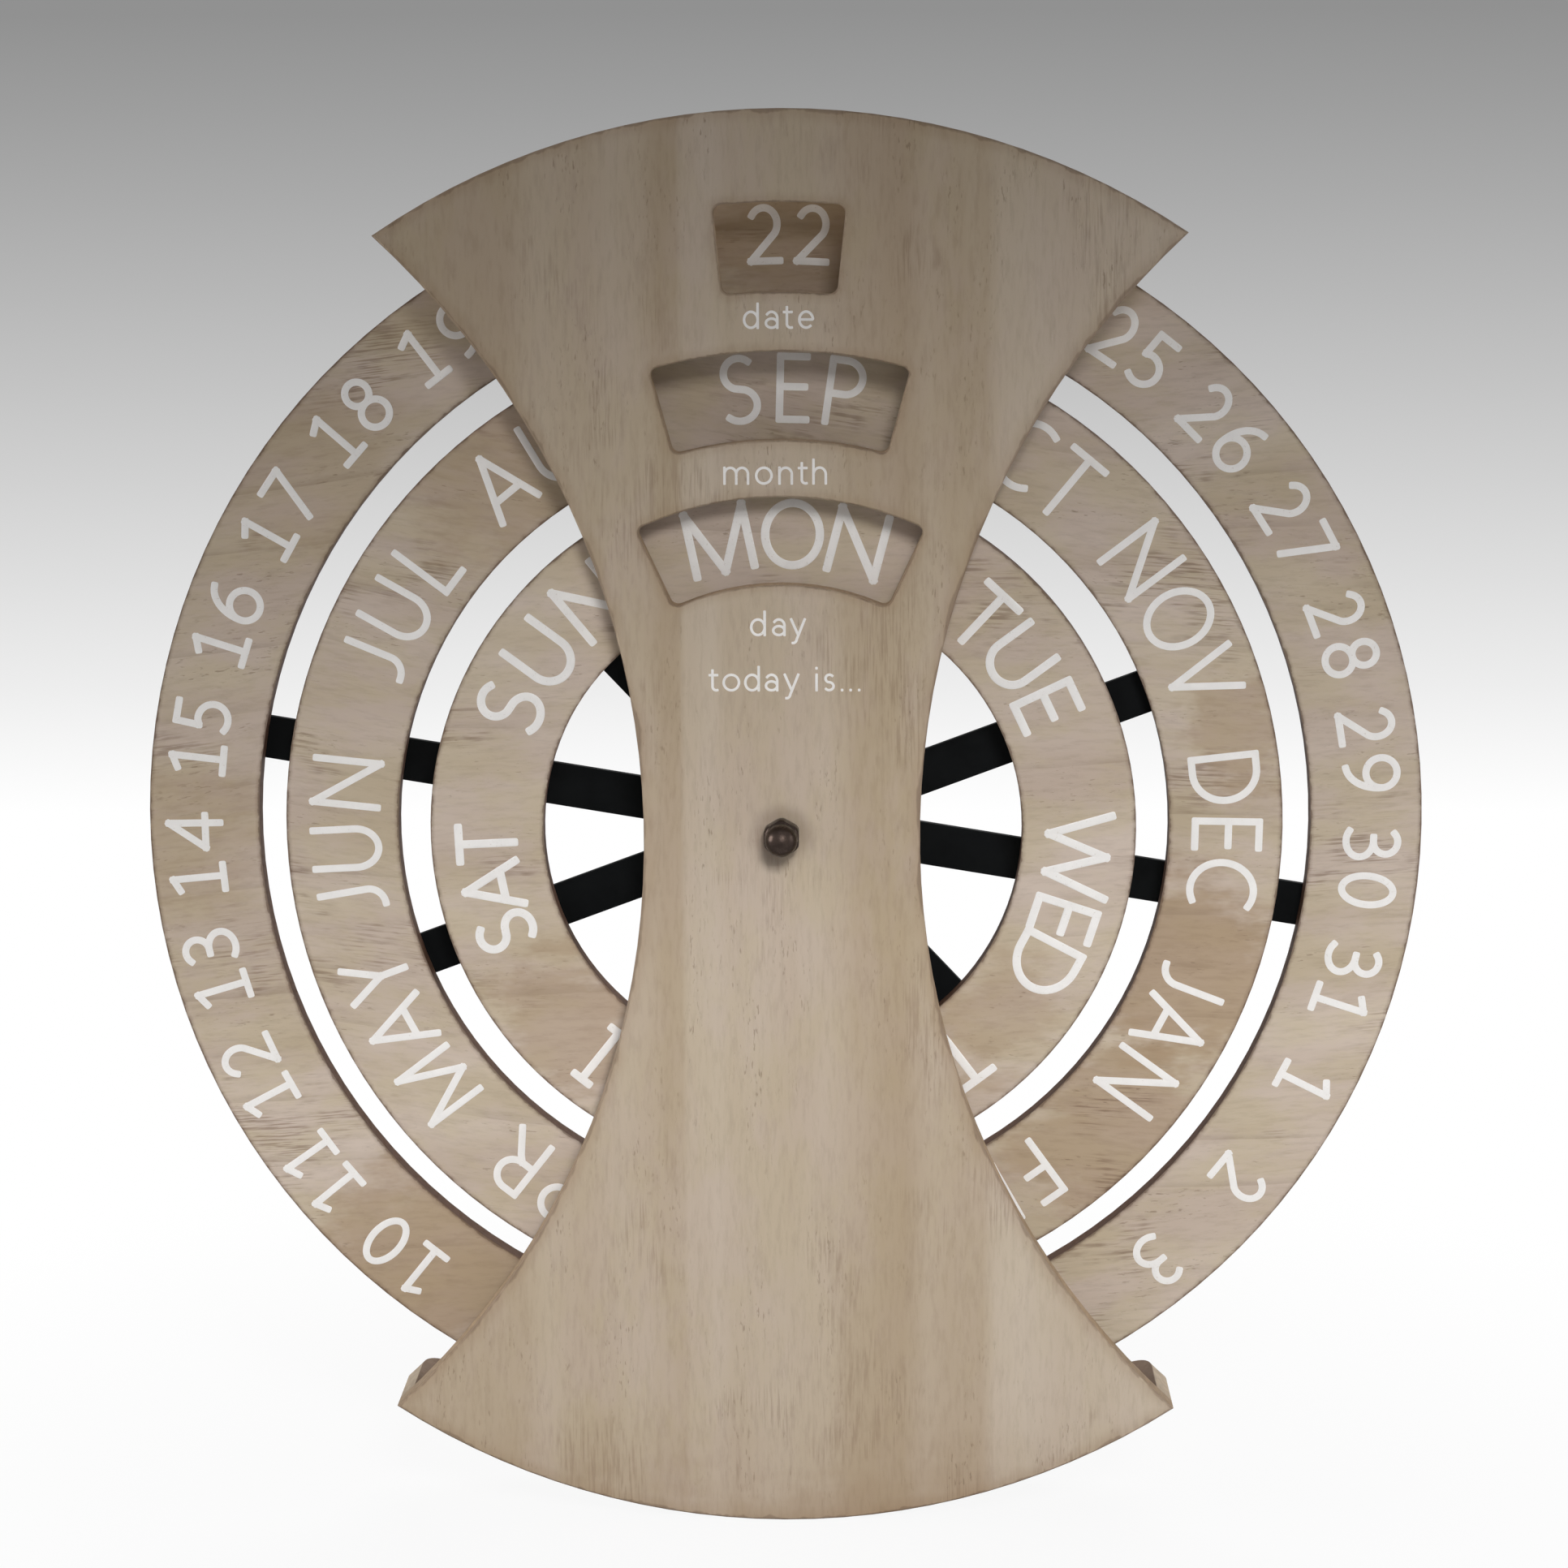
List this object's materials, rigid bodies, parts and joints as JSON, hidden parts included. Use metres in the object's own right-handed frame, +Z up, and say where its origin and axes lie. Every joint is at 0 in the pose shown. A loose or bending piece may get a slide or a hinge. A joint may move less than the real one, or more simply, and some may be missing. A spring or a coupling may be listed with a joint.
{
  "type": "perpetual desk calendar",
  "caption": "Perpetual desk calendar: nested date, month and day wheels turn on one bolt behind an hourglass wooden plate with windows and a curved foot.",
  "frame": {"origin": "middle of the footprint of the bounding box, on the lowest line of the curved foot", "axes": "+Z up; +X to the right seen from the front; -Y towards the reader, the way the front plate faces"},
  "size_m": [0.3, 0.046, 0.332],
  "materials": {
    "plate_wood": "matt, greyish limed plywood",
    "ring_wood": "matt, greyish limed plywood with darkened cut edges",
    "foot_wood": "matt, greyish limed plywood",
    "black_metal": "matt black",
    "black_screw": "satin black",
    "white_paint": "matt screen-printed white",
    "bronze_metal": "dark bronze, half gloss",
    "zinc_steel": "zinc plated",
    "nylon": "natural nylon"
  },
  "bodies": {
    "stand": {"front_plate": "plate_wood", "foot_strip": "foot_wood", "foot_block_left": "foot_wood", "foot_block_centre": "foot_wood", "foot_block_right": "foot_wood", "pivot_bolt": "zinc_steel", "acorn_nut": "bronze_metal", "clamp_nut": "zinc_steel", "plate_washer": "zinc_steel", "spacer_sleeve": "nylon", "day_month_washer": "nylon", "month_date_washer": "nylon", "rear_washer": "nylon", "spring_washer": "zinc_steel"},
    "date_wheel": {"date_ring": "ring_wood", "date_bar": "black_metal"},
    "month_wheel": {"month_ring": "ring_wood", "month_bar": "black_metal"},
    "day_wheel": {"day_ring": "ring_wood", "day_bar": "black_metal"}
  },
  "joints": [
    {"name": "date_turn", "type": "hinge", "parent": "stand", "child": "date_wheel", "pos_m": [0, 0.009, 0.166], "axis": [0, -1, 0], "continuous": true},
    {"name": "month_turn", "type": "hinge", "parent": "stand", "child": "month_wheel", "pos_m": [0, 0.005, 0.166], "axis": [0, -1, 0], "continuous": true},
    {"name": "day_turn", "type": "hinge", "parent": "stand", "child": "day_wheel", "pos_m": [0, 0.001, 0.166], "axis": [0, -1, 0], "continuous": true}
  ]
}
